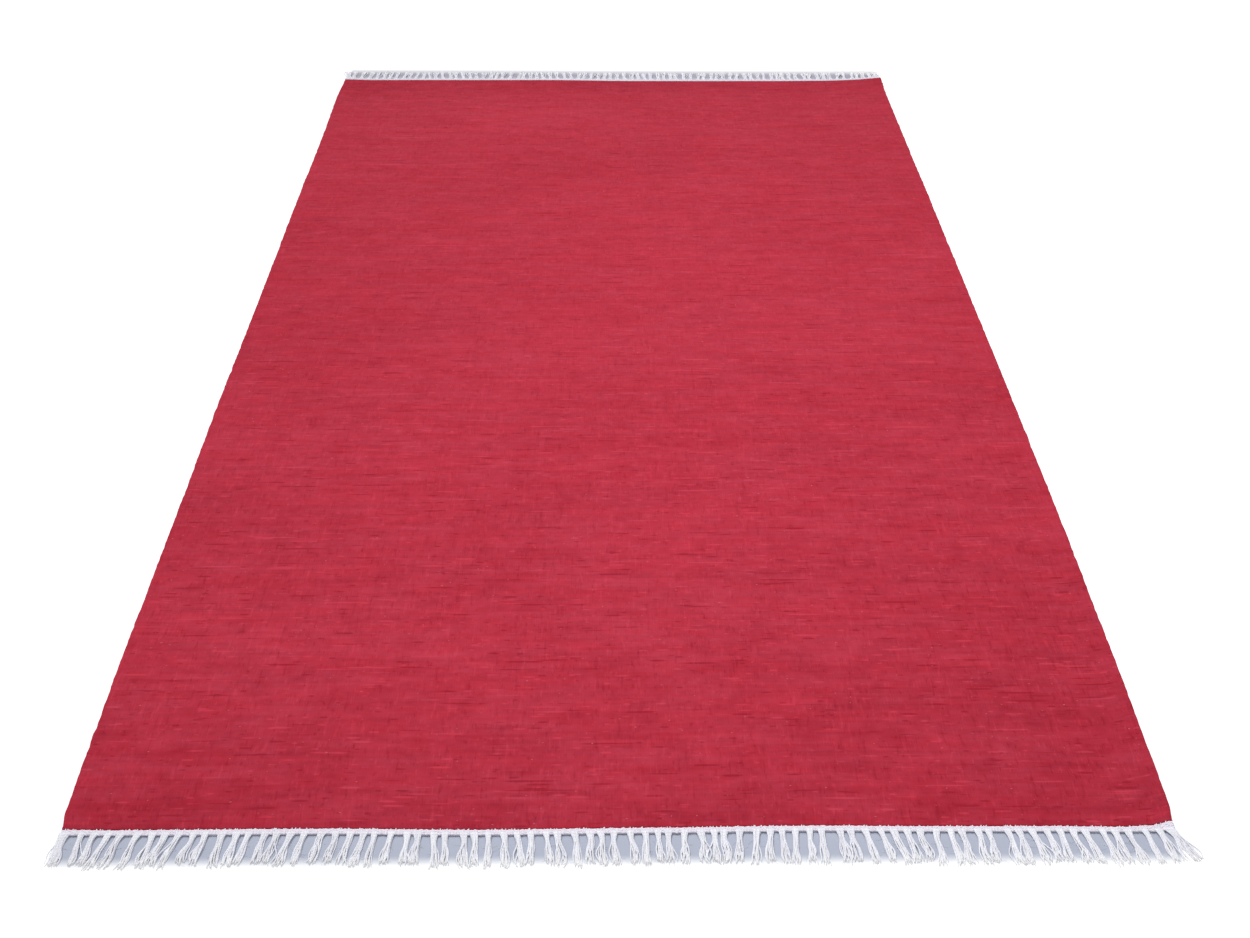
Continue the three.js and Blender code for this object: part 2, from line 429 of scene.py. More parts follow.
def web_mesh(end):
    """The flat white web under a heading's twined rows, from the last red pick to the locks' roots."""
    columns = stepped(FIELD_WIDTH, WEB_COLUMNS, EDGE_STEPS[:4])
    rows = np.array(WEB_ROWS)
    mesh, column, row, face = closed_sheet("heading_web", columns, rows)
    straight_x = columns[column]
    share_out = rows[row] * end + 0.5
    x, y = heading_point(end, straight_x, share_out)
    side_distance = FIELD_WIDTH / 2 - np.abs(straight_x)
    rim_distance = (0.5 - np.abs(rows[row])) * HEADING_DEPTH
    body = round_over(side_distance, EDGE_ROUNDING) * round_over(rim_distance, WEB_ROUNDING)
    z = rise(x, y) + WEB_THICKNESS / 2 + WEB_LIFT + face * (WEB_THICKNESS / 2) * body
    place_points(mesh, np.stack([x, y, z], axis=1), straight_x + FIELD_WIDTH / 2, share_out * HEADING_DEPTH)
    yarn_map = mesh.uv_layers.new(name="yarn")
    flat = np.empty(len(mesh.loops) * 2)
    mesh.uv_layers["weave"].data.foreach_get("uv", flat)
    yarn_map.data.foreach_set("uv", flat)
    tone = mesh.attributes.new("tone", "FLOAT", "POINT")
    tone.data.foreach_set("value", np.full(len(mesh.vertices), 0.5))
    return mesh


# The yarns, each a bent copy of one plain tube


def yarn_template(sides, rings):
    """A closed tube of unit length and radius: its points as share and angle, its faces and its yarn map."""
    bm = bmesh.new()
    bmesh.ops.create_cone(bm, cap_ends=True, segments=sides, radius1=1, radius2=1, depth=1)
    long_edges = [edge for edge in bm.edges if abs(edge.verts[0].co.z - edge.verts[1].co.z) > 0.5]
    bmesh.ops.subdivide_edges(bm, edges=long_edges, cuts=rings - 2)
    share = np.array([vert.co.z + 0.5 for vert in bm.verts])
    angle = np.array([math.atan2(vert.co.y, vert.co.x) % (2 * math.pi) for vert in bm.verts])
    faces = []
    around = []
    for face in bm.faces:
        indices = [vert.index for vert in face.verts]
        turns = [angle[i] / (2 * math.pi) for i in indices]
        if len(indices) == 4 and max(turns) - min(turns) > 0.5:
            turns = [turn + 1 if turn < 0.5 else turn for turn in turns]
        faces.append(indices)
        around += turns
    bm.free()
    return {"share": share, "angle": angle, "faces": faces, "around": np.array(around)}


def bend_tube(template, path, radius, turn=0.0):
    """The template's points along path(share), as thick as radius(share), and the length of that path."""
    rings = np.unique(template["share"])
    points = path(rings)
    ahead = np.gradient(points, axis=0)
    ahead /= np.linalg.norm(ahead, axis=1, keepdims=True)
    up = np.array([0.0, 0.0, 1.0])
    side = np.cross(ahead, up)
    side /= np.linalg.norm(side, axis=1, keepdims=True)
    over = np.cross(side, ahead)
    ring = np.searchsorted(rings, template["share"] - 1e-6)
    angle = template["angle"] + turn * template["share"]
    half = radius(template["share"])
    out = side[ring] * (np.cos(angle) * half)[:, None]
    out = out + over[ring] * (np.sin(angle) * half)[:, None]
    length = np.linalg.norm(np.diff(points, axis=0), axis=1).sum()
    return points[ring] + out, length


def joined_mesh(name, template, copies, tone_range=(0, 1)):
    """One mesh of many bent copies, each a pair of its points and its length, with a yarn map and a tone."""
    count = len(template["share"])
    points = np.concatenate([points for points, _ in copies])
    faces = [[i + copy * count for i in face] for copy in range(len(copies)) for face in template["faces"]]
    mesh = bpy.data.meshes.new(name)
    mesh.from_pydata(points, [], faces)
    corner_share = template["share"][np.concatenate(template["faces"])]
    along = np.concatenate([corner_share * length for _, length in copies])
    around = np.tile(template["around"], len(copies))
    yarn_map = mesh.uv_layers.new(name="yarn")
    yarn_map.data.foreach_set("uv", np.stack([around, along], axis=1).ravel())
    tone = mesh.attributes.new("tone", "FLOAT", "POINT")
    tones = np.repeat(chance.uniform(*tone_range, len(copies)), count)
    tone.data.foreach_set("value", tones)
    return mesh


def yarn_spread(share, end):
    """How far the yarns of a lock at one end spread at a share of its length."""
    column = "near" if end < 0 else "far"
    shares = [row["share"] for row in YARN_SPREAD]
    spreads = [row[column] * MM for row in YARN_SPREAD]
    return np.interp(share, shares, spreads)


def lock_yarn(template, form, end, slot_x, layer):
    """One loose warp yarn of a lock, from inside the heading to its own frayed tip."""
    reach = form["length"] * (1 + chance.uniform(*YARN_EXTRA_LENGTH))
    wander = chance.uniform(-YARN_WANDER, YARN_WANDER)
    wander_turn = chance.uniform(0, 2 * math.pi)
    splay = chance.normal(0, YARN_SPLAY)
    curl = chance.uniform(-YARN_CURL, YARN_CURL)
    is_loose = chance.uniform() < form["loose_share"]
    loose = chance.uniform(-LOOSE_REACH, LOOSE_REACH) if is_loose else 0.0
    thick = YARN_RADIUS * chance.uniform(*YARN_GIRTHS)

    def path(share):
        bowed = share + BOW * share * (1 - share)
        centre = (form["tip_x"] - form["root_x"]) * bowed + form["sway"] * np.sin(2 * math.pi * share)
        half_width = np.maximum(yarn_spread(share, end) * form["girth"] / 2 - thick, 0)
        slot = slot_x + wander * np.sin(2.2 * math.pi * share + wander_turn) * smooth(0.05, 0.3, share)
        side = half_width * slot + splay * smooth(0.6, 1.05, share)
        side = side + curl * np.sin(5 * math.pi * share + wander_turn) * smooth(0.35, 0.9, share)
        side = side + loose * np.sin(math.pi * smooth(0.2, 1.25, share))
        x = form["root_x"] + centre + side
        y = form["root_y"] + end * reach * share
        settled = smooth(0.07, 0.36, share)
        rest = thick * 1.02 + layer * 1.5 * thick * (1 - 0.75 * smooth(0.5, 0.98, share))
        start = ROOT_HEIGHT + ROOT_LAYER_RISE * layer
        lifted = rise(form["root_x"], form["root_y"]) * (1 - smooth(0.1, 0.9, share))
        return np.stack([x, y, start + (rest - start) * settled + lifted], axis=1)

    def radius(share):
        return thick * (1 - 0.5 * smooth(0.8, 1.0, share))

    return bend_tube(template, path, radius, turn=chance.uniform(-YARN_TWIST, YARN_TWIST))


def stray_fibre(template, form, end):
    """A fine fibre that has worked loose from a lock near its tip."""
    start_share = chance.uniform(*FIBRE_STARTS)
    length = chance.uniform(*FIBRE_LENGTHS)
    first_turn = math.radians(chance.normal(0, FIBRE_TURN))
    curve = chance.uniform(-FIBRE_CURVE, FIBRE_CURVE)
    height = chance.uniform(*FIBRE_HEIGHTS)
    bowed = start_share + BOW * start_share * (1 - start_share)
    width = float(yarn_spread(start_share, end)) * form["girth"]
    start_x = form["root_x"] + (form["tip_x"] - form["root_x"]) * bowed + chance.uniform(-0.5, 0.5) * width
    start_x += form["sway"] * math.sin(2 * math.pi * start_share)
    start_y = form["root_y"] + end * form["length"] * start_share

    def path(share):
        turned = first_turn + curve * share * math.pi
        x = start_x + length * share * np.sin(turned)
        y = start_y + end * length * share * np.cos(turned)
        z = 0.25 * MM + height * (1 - share) + 0.4 * MM * np.sin(math.pi * share)
        return np.stack([x, y, z], axis=1)

    return bend_tube(template, path, lambda share: FIBRE_RADIUS * (1 - 0.5 * share))


def lock_pieces(end):
    """The loose yarns of every lock of one end, and the fine fibres among them."""
    yarn = yarn_template(YARN_SIDES, YARN_RINGS)
    fibre = yarn_template(FIBRE_SIDES, FIBRE_RINGS)
    yarns = []
    fibres = []
    for form in lock_forms(end):
        count = YARNS_IN_CORNER_LOCK if form["corner"] else YARNS_PER_LOCK
        lower = count // 2 + 1
        for number in range(count):
            layer = 0 if number < lower else 1
            row = lower if layer == 0 else count - lower
            place = number if layer == 0 else number - lower
            slot_x = (2 * (place + 0.5) / row - 1) * (1.0 if layer == 0 else UPPER_LAYER_SPREAD)
            yarns.append(lock_yarn(yarn, form, end, slot_x, layer))
        for _ in range(FIBRES_IN_CORNER_LOCK if form["corner"] else FIBRES_PER_LOCK):
            fibres.append(stray_fibre(fibre, form, end))
    tones = YARN_TONES_FAR_SHADED["near" if end < 0 else "far"]
    return joined_mesh("locks", yarn, yarns, tones), joined_mesh("fibres", fibre, fibres, tones)


def heading_strand(template, end, share_out, turn_way, strand):
    """One strand of a twined row of the heading, following the end of the cloth."""
    phase = math.pi * strand + chance.uniform(0, 1)

    def path(share):
        straight_x = (share - 0.5) * (FIELD_WIDTH - 2 * MM)
        wander = 0.04 * np.sin(share * 71 + phase) + 0.03 * np.sin(share * 173 + 2 * phase)
        wander = wander + 0.05 * np.sin(share * 560 + 3 * phase) * (1 - share_out)
        twist = turn_way * 2 * math.pi * share * FIELD_WIDTH / TWINE_PITCH + phase
        x, y = heading_point(end, straight_x, share_out + wander + TWINE_SHARE * np.cos(twist))
        z = rise(x, y) + WEB_THICKNESS - STRAND_SINK + TWINE_HEIGHT * np.sin(twist)
        return np.stack([x, y, z], axis=1)

    return bend_tube(template, path, lambda share: np.full_like(share, STRAND_RADIUS))


def heading_stitches(template, end, forms):
    """Short white stitches where warp yarns come out from under the last red picks."""
    stitches = []
    for form in forms:
        for _ in range(STITCHES_PER_LOCK):
            at_x = form["root_x"] + chance.uniform(-0.5, 0.5) * FIELD_WIDTH / LOCK_COUNT
            at_x = float(np.clip(at_x, STITCH_MARGIN - FIELD_WIDTH / 2, FIELD_WIDTH / 2 - STITCH_MARGIN))
            over_red = chance.uniform(*STITCH_OVER_RED)
            lean = chance.uniform(-STITCH_LEAN, STITCH_LEAN)

            def path(share):
                straight_y = end * (FIELD_LENGTH / 2 - over_red + (over_red + STITCH_OVER_WHITE) * share)
                x, y = lie(np.full_like(share, at_x), straight_y)
                arch = STITCH_RISE * np.sin(math.pi * (0.1 + 0.8 * share))
                z = rise(x, y) + STITCH_HEIGHT - STITCH_FALL * share + arch
                return np.stack([x + lean * share, y, z], axis=1)

            stitches.append(bend_tube(template, path, lambda share: np.full_like(share, STITCH_RADIUS)))
    return joined_mesh("stitches", template, stitches, HEADING_TONES_FAR_SHADED["near" if end < 0 else "far"])


def heading_mesh(end):
    """The twined rows of one heading, two strands to a row, with the rows turned by turns each way."""
    plain = yarn_template(STRAND_SIDES, round(FIELD_WIDTH / STRAND_STEP))
    strands = []
    for number, share_out in enumerate(ROW_SHARES):
        for strand in range(STRANDS_PER_ROW):
            strands.append(heading_strand(plain, end, share_out, 1 if number % 2 else -1, strand))
    return joined_mesh("heading", plain, strands, HEADING_TONES_FAR_SHADED["near" if end < 0 else "far"])


# Shader groups

# What sets the noise of one pick apart from the next, and the part of the noise's range that is used
JUMP_PER_PICK = 17.37
NOISE_SPAN = (0.3, 0.7)


def new_group(name, inputs, outputs):
    """A shader node group's tree, its way in and its way out. An input without a value is a vector."""
    tree = bpy.data.node_groups.new(name, "ShaderNodeTree")
    for label, value in inputs.items():
        kind = "NodeSocketVector" if value is None else "NodeSocketFloat"
        socket = tree.interface.new_socket(name=label, in_out="INPUT", socket_type=kind)
        if value is not None:
            socket.default_value = value
    for label in outputs:
        tree.interface.new_socket(name=label, in_out="OUTPUT", socket_type="NodeSocketFloat")
    entry = tree.nodes.new("NodeGroupInput")
    leave = tree.nodes.new("NodeGroupOutput")
    return tree, entry.outputs, leave.inputs


def put(tree, socket, value):
    """Feeds a socket from another socket or sets it to a value."""
    if isinstance(value, bpy.types.NodeSocket):
        tree.links.new(value, socket)
    else:
        socket.default_value = value


def calc(tree, operation, first, second=0.0, third=0.0):
    """The result of a Math node."""
    node = tree.nodes.new("ShaderNodeMath")
    node.operation = operation
    for socket, value in zip(node.inputs, (first, second, third)):
        put(tree, socket, value)
    return node.outputs[0]


def blend(tree, kind, share, first, second):
    """The result of a colour Mix node."""
    node = tree.nodes.new("ShaderNodeMix")
    node.data_type = "RGBA"
    node.blend_type = kind
    put(tree, node.inputs["Factor"], share)
    put(tree, node.inputs["A"], first)
    put(tree, node.inputs["B"], second)
    return node.outputs["Result"]


def remap(tree, value, low, high, to_low=0.0, to_high=1.0):
    """The result of a Map Range node, clamped and eased."""
    node = tree.nodes.new("ShaderNodeMapRange")
    node.interpolation_type = "SMOOTHSTEP"
    put(tree, node.inputs["Value"], value)
    put(tree, node.inputs["From Min"], low)
    put(tree, node.inputs["From Max"], high)
    put(tree, node.inputs["To Min"], to_low)
    put(tree, node.inputs["To Max"], to_high)
    return node.outputs["Result"]


def bump(tree, height, strength, distance, normal=None):
    """The normal of a Bump node."""
    node = tree.nodes.new("ShaderNodeBump")
    put(tree, node.inputs["Height"], height)
    node.inputs["Strength"].default_value = strength
    node.inputs["Distance"].default_value = distance
    if normal is not None:
        tree.links.new(normal, node.inputs["Normal"])
    return node.outputs["Normal"]


def use_group(tree, group, **values):
    """Places a group in a material and feeds its inputs by name, with underscores for spaces."""
    node = tree.nodes.new("ShaderNodeGroup")
    node.node_tree = group
    for label, value in values.items():
        put(tree, node.inputs[label.replace("_", " ")], value)
    return node.outputs


def joined_place(tree, x, y, z=0.0):
    """A vector from its parts."""
    node = tree.nodes.new("ShaderNodeCombineXYZ")
    for socket, value in zip(node.inputs, (x, y, z)):
        put(tree, socket, value)
    return node.outputs[0]


def split_place(tree, place):
    """The parts of a vector, by name."""
    node = tree.nodes.new("ShaderNodeSeparateXYZ")
    tree.links.new(place, node.inputs[0])
    return node.outputs


def grey(tree, value):
    """A grey colour from a value."""
    node = tree.nodes.new("ShaderNodeCombineColor")
    for socket in node.inputs:
        put(tree, socket, value)
    return node.outputs["Color"]


def soft_noise(tree, place, detail=1, scale=1.0):
    """Noise from 0 to 1 about a mean of a half."""
    noise = tree.nodes.new("ShaderNodeTexNoise")
    noise.inputs["Detail"].default_value = detail
    put(tree, noise.inputs["Scale"], scale)
    tree.links.new(place, noise.inputs["Vector"])
    return noise.outputs["Fac"]


def build_streak_group():
    """Tone that changes slowly along a yarn and quickly across yarns."""
    inputs = {"Place": None, "Length": 0.05, "Height": 0.003, "Seed": 0.0}
    tree, entry, leave = new_group("Yarn Streak", inputs, ["Tone"])
    place = split_place(tree, entry["Place"])
    along = calc(tree, "DIVIDE", place["X"], entry["Length"])
    across = calc(tree, "DIVIDE", place["Y"], entry["Height"])
    streaked = joined_place(tree, along, across, entry["Seed"])
    tree.links.new(soft_noise(tree, streaked), leave["Tone"])
    return tree


def build_pick_group():
    """Tone that changes along each pick and jumps to the next, and how near a pick's rim a point is."""
    inputs = {"Place": None, "Pick Pitch": PICK_PITCH, "Length": 0.05, "Seed": 0.0}
    tree, entry, leave = new_group("Pick Melange", inputs, ["Tone", "Rim"])
    place = split_place(tree, entry["Place"])
    picks = calc(tree, "DIVIDE", place["Y"], entry["Pick Pitch"])
    off_middle = calc(tree, "MULTIPLY_ADD", calc(tree, "FRACT", picks), 2.0, -1.0)
    tree.links.new(calc(tree, "MULTIPLY", off_middle, off_middle), leave["Rim"])
    along = calc(tree, "DIVIDE", place["X"], entry["Length"])
    pick = calc(tree, "MULTIPLY", calc(tree, "FLOOR", picks), JUMP_PER_PICK)
    streaked = joined_place(tree, along, pick, entry["Seed"])
    tree.links.new(soft_noise(tree, streaked), leave["Tone"])
    return tree


def build_fuzz_group():
    """The fine fibres of a spun yarn: a relief and a tone that change within a millimetre."""
    inputs = {"Place": None, "Fineness": 1500.0}
    tree, entry, leave = new_group("Fibre Fuzz", inputs, ["Relief", "Tone"])
    fuzz = soft_noise(tree, entry["Place"], detail=3, scale=entry["Fineness"])
    tree.links.new(fuzz, leave["Relief"])
    tree.links.new(remap(tree, fuzz, *NOISE_SPAN), leave["Tone"])
    return tree


def build_ply_group():
    """The twist of a plied yarn from its yarn map: round plies with a groove between them."""
    inputs = {"Yarn": None, "Plies": 2.0, "Turns": 150.0}
    tree, entry, leave = new_group("Ply Twist", inputs, ["Relief", "Groove"])
    yarn = split_place(tree, entry["Yarn"])
    around = calc(tree, "MULTIPLY", yarn["X"], entry["Plies"])
    phase = calc(tree, "MULTIPLY_ADD", yarn["Y"], entry["Turns"], around)
    wave = calc(tree, "COSINE", calc(tree, "MULTIPLY", phase, math.pi))
    relief = calc(tree, "ABSOLUTE", wave)
    tree.links.new(relief, leave["Relief"])
    tree.links.new(remap(tree, relief, 0.0, 0.5, 1.0, 0.0), leave["Groove"])
    return tree


def build_grain_group():
    """The weft grains of a weft-faced weave: each pick shows over every second warp rib."""
    inputs = {"Weave": None, "Rib Pitch": RIB_PITCH, "Pick Pitch": PICK_PITCH}
    tree, entry, leave = new_group("Weft Grain", inputs, ["Relief", "Shade"])
    weave = split_place(tree, entry["Weave"])
    rib = calc(tree, "DIVIDE", weave["X"], entry["Rib Pitch"])
    nearest_rib = calc(tree, "FLOOR", calc(tree, "ADD", rib, 0.5))
    half_pick = calc(tree, "FRACT", calc(tree, "MULTIPLY", nearest_rib, 0.5))
    crest = calc(tree, "COSINE", calc(tree, "MULTIPLY", rib, 2 * math.pi))
    crest = calc(tree, "MULTIPLY_ADD", crest, 0.5, 0.5)
    pick = calc(tree, "ADD", calc(tree, "DIVIDE", weave["Y"], entry["Pick Pitch"]), half_pick)
    grain = calc(tree, "COSINE", calc(tree, "MULTIPLY", pick, 2 * math.pi))
    grain = calc(tree, "MULTIPLY_ADD", grain, 0.5, 0.5)
    relief = calc(tree, "MULTIPLY", grain, crest)
    tree.links.new(relief, leave["Relief"])
    tree.links.new(remap(tree, relief, 0.0, 0.6), leave["Shade"])
    return tree


streak_group = build_streak_group()
pick_group = build_pick_group()
fuzz_group = build_fuzz_group()
ply_group = build_ply_group()
grain_group = build_grain_group()


# Materials

RED_DARK = (0.330, 0.0150, 0.0318, 1)
RED_LIGHT = (0.545, 0.0430, 0.0755, 1)
COTTON_SHADE = (0.765, 0.755, 0.835, 1)
COTTON_LIGHT = (0.93, 0.935, 0.99, 1)
COTTON_TIPS = (0.95, 0.95, 0.97, 1)
HEADING_SHADE = (0.785, 0.75, 0.845, 1)
HEADING_LIGHT = (0.915, 0.88, 0.96, 1)
FLOOR_WHITE = (0.93, 0.93, 0.93, 1)
FLOOR_GLOW = (0.3, 0.3, 0.3, 1)
NO_GLOW = (0, 0, 0, 1)
# Shadow painted among each fringe: its tone, where it fades out in mm, and how much lighter it is by the
# heading
FLOOR_PAINTED_SHADOWS = [
    {"end": NEAR, "tone": (0.45, 0.48, 0.577, 1), "fade": (39, 64), "lift": 1.03, "lifted_to": 24},
    {"end": FAR, "tone": (0.398, 0.392, 0.455, 1), "fade": (42, 98), "lift": 1.5, "lifted_to": 34},
]
# Where the painted shadow begins under the heading, where it fades short of the sides and where its
# lightening eases
PAINTED_SHADOW_STARTS = (-6 * MM, -2 * MM)
PAINTED_SHADOW_SIDE_FADE = (18 * MM, 8 * MM)
PAINTED_SHADOW_LIFT_START = 12 * MM


def new_material(name, roughness, sheen, specular):
    """A material with only a Principled shader, and that shader's node."""
    material = bpy.data.materials.new(name)
    material.use_nodes = True
    shader = material.node_tree.nodes["Principled BSDF"]
    shader.inputs["Roughness"].default_value = roughness
    shader.inputs["Sheen Weight"].default_value = sheen
    shader.inputs["Sheen Roughness"].default_value = 0.5
    shader.inputs["Specular IOR Level"].default_value = specular
    return material, material.node_tree, shader


# The mottled weft's layers of tone: each one's length along the yarns, its height or pitch across them,
# in metres, and how much it counts
PICK_STREAKS = [
    {"length": 0.016, "pitch": 2.0 * PICK_PITCH, "seed": 1.3, "amount": 0.11},
    {"length": 0.060, "pitch": 2.3 * PICK_PITCH, "seed": 7.7, "amount": 0.16},
    {"length": 0.170, "pitch": 1.8 * PICK_PITCH, "seed": 13.1, "amount": 0.15},
    {"length": 0.240, "pitch": 4.4 * PICK_PITCH, "seed": 17.9, "amount": 0.22},
]
CLOUDS = [
    {"length": 0.018, "height": 0.015, "seed": 21.9, "amount": 0.22},
    {"length": 0.050, "height": 0.034, "seed": 25.3, "amount": 0.26},
    {"length": 0.500, "height": 0.250, "seed": 28.3, "amount": 0.24},
]
# Slubs are thick and thin places in single picks. Each pair of tones is where one begins and is full.
SLUBS = [
    {"length": 0.026, "pitch": 1.4 * PICK_PITCH, "seed": 51.0, "dark": 0.40, "pale": 0.44},
    {"length": 0.060, "pitch": 1.5 * PICK_PITCH, "seed": 53.0, "dark": 0.48, "pale": 0.50},
    {"length": 0.140, "pitch": 1.3 * PICK_PITCH, "seed": 55.0, "dark": 0.50, "pale": 0.50},
]
SLUB_TAPER = 0.07
THICK_TONES = (0.655, 0.74)
THIN_TONES = (0.345, 0.26)
# Faint lines that run along the warp
WARP_MARKS = [
    {"length": 0.014, "height": 0.0050, "seed": 61.0, "amount": 0.25},
    {"length": 0.038, "height": 0.0080, "seed": 67.0, "amount": 0.20},
]
PALE_MARK_TONES = (0.61, 0.74)
DARK_MARK_TONES = (0.39, 0.26)
# Pale fibres caught in the weft
SPECKS = {"length": 0.007, "height": 0.0036, "seed": 57.0}
SPECK_TONES = (0.755, 0.80)
SPECK_SHARE = 0.45
SPECK_COLOUR = (0.62, 0.25, 0.25, 1)
# The picks bend a little on their way across.
PICK_DRIFT = {"length": 0.190, "height": 0.110, "seed": 3.1}
DRIFT_REACH = 4 * MM
# The mottle is strongest near the near end and calmer from the middle on.
CALMER_FROM = 0.25
CALMER_TO = 1.35
CALMER_MOTTLE = 0.78
# The weft is darker beside both headings.
END_DARKENING_REACH = 110 * MM
END_DARKENING = 0.17
# Broad patches, darker or paler below 0: the middle and half size of each, in mm
# The darker near right corner is painted shade, and the paler band by the far end painted sheen.
SHADE_AND_SHEEN_PATCHES = [
    {"x": 640, "y": -1080, "across": 300, "along": 200, "darker_by": 0.13},
    {"x": 20, "y": -1060, "across": 200, "along": 150, "darker_by": -0.09},
    {"x": -250, "y": -780, "across": 220, "along": 130, "darker_by": -0.08},
    {"x": -330, "y": 400, "across": 330, "along": 260, "darker_by": 0.09},
    {"x": 100, "y": 1050, "across": 900, "along": 170, "darker_by": -0.08},
]
# Fuller and weaker patches of the dye
TINTS = [
    {
        "length": 0.150,
        "height": 0.030,
        "seed": 33.3,
        "full": (1.01, 0.935, 0.945, 1),
        "weak": (0.99, 1.065, 1.055, 1),
    },
    {
        "length": 0.030,
        "height": 0.008,
        "seed": 37.1,
        "full": (1.01, 0.925, 0.940, 1),
        "weak": (0.99, 1.075, 1.060, 1),
    },
]
WEFT_FUZZ = 1100.0
WEFT_FUZZ_DEPTH = 0.2 * MM
WEFT_FUZZ_SHADES = (0.985, 1.015)
GRAIN_DEPTH = 0.3 * MM
# Painted shade in the grain's hollows, a little paler on its crests
GRAIN_PAINTED_SHADE = (0.975, 1.012)
GRAIN_ROUGHNESS = (0.97, 0.88)


def pick_layer(tree, place, row):
    """The pick group's outputs for a row of a table."""
    sizes = {"Pick_Pitch": row["pitch"], "Length": row["length"], "Seed": row["seed"]}
    return use_group(tree, pick_group, Place=place, **sizes)


def streak_tone(tree, place, row):
    """The streak group's tone for a row of a table."""
    sizes = {"Length": row["length"], "Height": row["height"], "Seed": row["seed"]}
    return use_group(tree, streak_group, Place=place, **sizes)["Tone"]


def sway_tone(tree, tone, share, amount):
    """A tone made paler or darker as a share lies above or below a half."""
    return calc(tree, "MULTIPLY_ADD", calc(tree, "SUBTRACT", share, 0.5), 2 * amount, tone)


def patch_share(tree, x, y, patch):
    """1 in the middle of a broad patch, falling off softly around it."""
    across = calc(tree, "SUBTRACT", x, FIELD_WIDTH / 2 + patch["x"] * MM)
    across = calc(tree, "DIVIDE", across, patch["across"] * MM)
    along = calc(tree, "SUBTRACT", y, FIELD_LENGTH / 2 + patch["y"] * MM)
    along = calc(tree, "DIVIDE", along, patch["along"] * MM)
    away = calc(tree, "MULTIPLY_ADD", across, across, calc(tree, "MULTIPLY", along, along))
    return calc(tree, "EXPONENT", calc(tree, "MULTIPLY", away, -1.0))


def weft_tone(tree, weave, place):
    """How dark or pale the weft is, from its streaks, clouds, slubs, marks and broad patches."""
    turned = joined_place(tree, weave["Y"], weave["X"])
    tone = 0.5
    for row in PICK_STREAKS:
        tone = sway_tone(tree, tone, pick_layer(tree, place, row)["Tone"], row["amount"])
    for row in CLOUDS:
        tone = sway_tone(tree, tone, streak_tone(tree, place, row), row["amount"])
    for row in SLUBS:
        slub = pick_layer(tree, place, row)
        thick = calc(tree, "MULTIPLY_ADD", slub["Rim"], -SLUB_TAPER, slub["Tone"])
        thin = calc(tree, "MULTIPLY_ADD", slub["Rim"], SLUB_TAPER, slub["Tone"])
        tone = calc(tree, "SUBTRACT", tone, remap(tree, thick, *THICK_TONES, 0.0, row["dark"]))
        tone = calc(tree, "ADD", tone, remap(tree, thin, *THIN_TONES, 0.0, row["pale"]))
    for row in WARP_MARKS:
        mark = streak_tone(tree, turned, row)
        tone = calc(tree, "ADD", tone, remap(tree, mark, *PALE_MARK_TONES, 0.0, row["amount"]))
        tone = calc(tree, "SUBTRACT", tone, remap(tree, mark, *DARK_MARK_TONES, 0.0, row["amount"]))

    mottle = remap(tree, weave["Y"], CALMER_FROM, CALMER_TO, 1.0, CALMER_MOTTLE)
    tone = calc(tree, "MULTIPLY_ADD", calc(tree, "SUBTRACT", tone, 0.5), mottle, 0.5)
    # Darker beside both ends.
    from_middle = calc(tree, "ABSOLUTE", calc(tree, "SUBTRACT", weave["Y"], FIELD_LENGTH / 2))
    end_darkening_from = FIELD_LENGTH / 2 - END_DARKENING_REACH
    end_darkening = remap(tree, from_middle, end_darkening_from, FIELD_LENGTH / 2, 0.0, END_DARKENING)
    tone = calc(tree, "SUBTRACT", tone, end_darkening)
    # Broad patches of painted shade and sheen
    for patch in SHADE_AND_SHEEN_PATCHES:
        share = patch_share(tree, weave["X"], weave["Y"], patch)
        tone = calc(tree, "MULTIPLY_ADD", share, -patch["darker_by"], tone)
    return tone


def weft_material():
    """Mottled red weft: streaks along each pick, patches, dark and pale slubs, and a fine grain."""
    material, tree, shader = new_material("red_weft", 0.92, 0.02, 0.08)
    weave_map = tree.nodes.new("ShaderNodeUVMap")
    weave_map.uv_map = "weave"
    flat = weave_map.outputs["UV"]
    weave = split_place(tree, flat)
    drift = streak_tone(tree, flat, PICK_DRIFT)
    drifted_y = calc(tree, "MULTIPLY_ADD", drift, DRIFT_REACH, weave["Y"])
    place = joined_place(tree, weave["X"], drifted_y)

    dyed = blend(tree, "MIX", weft_tone(tree, weave, place), RED_DARK, RED_LIGHT)
    for row in TINTS:
        dye = remap(tree, streak_tone(tree, place, row), *NOISE_SPAN)
        tint = blend(tree, "MIX", dye, row["full"], row["weak"])
        dyed = blend(tree, "MULTIPLY", 1.0, dyed, tint)
    speck = remap(tree, streak_tone(tree, place, SPECKS), *SPECK_TONES, 0.0, SPECK_SHARE)
    dyed = blend(tree, "MIX", speck, dyed, SPECK_COLOUR)

    grain = use_group(tree, grain_group, Weave=flat, Rib_Pitch=RIB_PITCH, Pick_Pitch=PICK_PITCH)
    fuzz = use_group(tree, fuzz_group, Place=flat, Fineness=WEFT_FUZZ)
    # Painted shade: darker in the hollows between the grains, a little paler on their crests.
    painted_grain_shade = remap(tree, grain["Shade"], 0.0, 1.0, *GRAIN_PAINTED_SHADE)
    shade_and_fuzz = calc(tree, "MULTIPLY", painted_grain_shade, remap(tree, fuzz["Tone"], 0.0, 1.0, *WEFT_FUZZ_SHADES))
    tree.links.new(blend(tree, "MULTIPLY", 1.0, dyed, grey(tree, shade_and_fuzz)), shader.inputs["Base Color"])
    roughness = remap(tree, grain["Shade"], 0.0, 1.0, *GRAIN_ROUGHNESS)
    tree.links.new(roughness, shader.inputs["Roughness"])
    fine = bump(tree, fuzz["Relief"], 0.2, WEFT_FUZZ_DEPTH)
    tree.links.new(bump(tree, grain["Relief"], 0.3, GRAIN_DEPTH, fine), shader.inputs["Normal"])
    return material


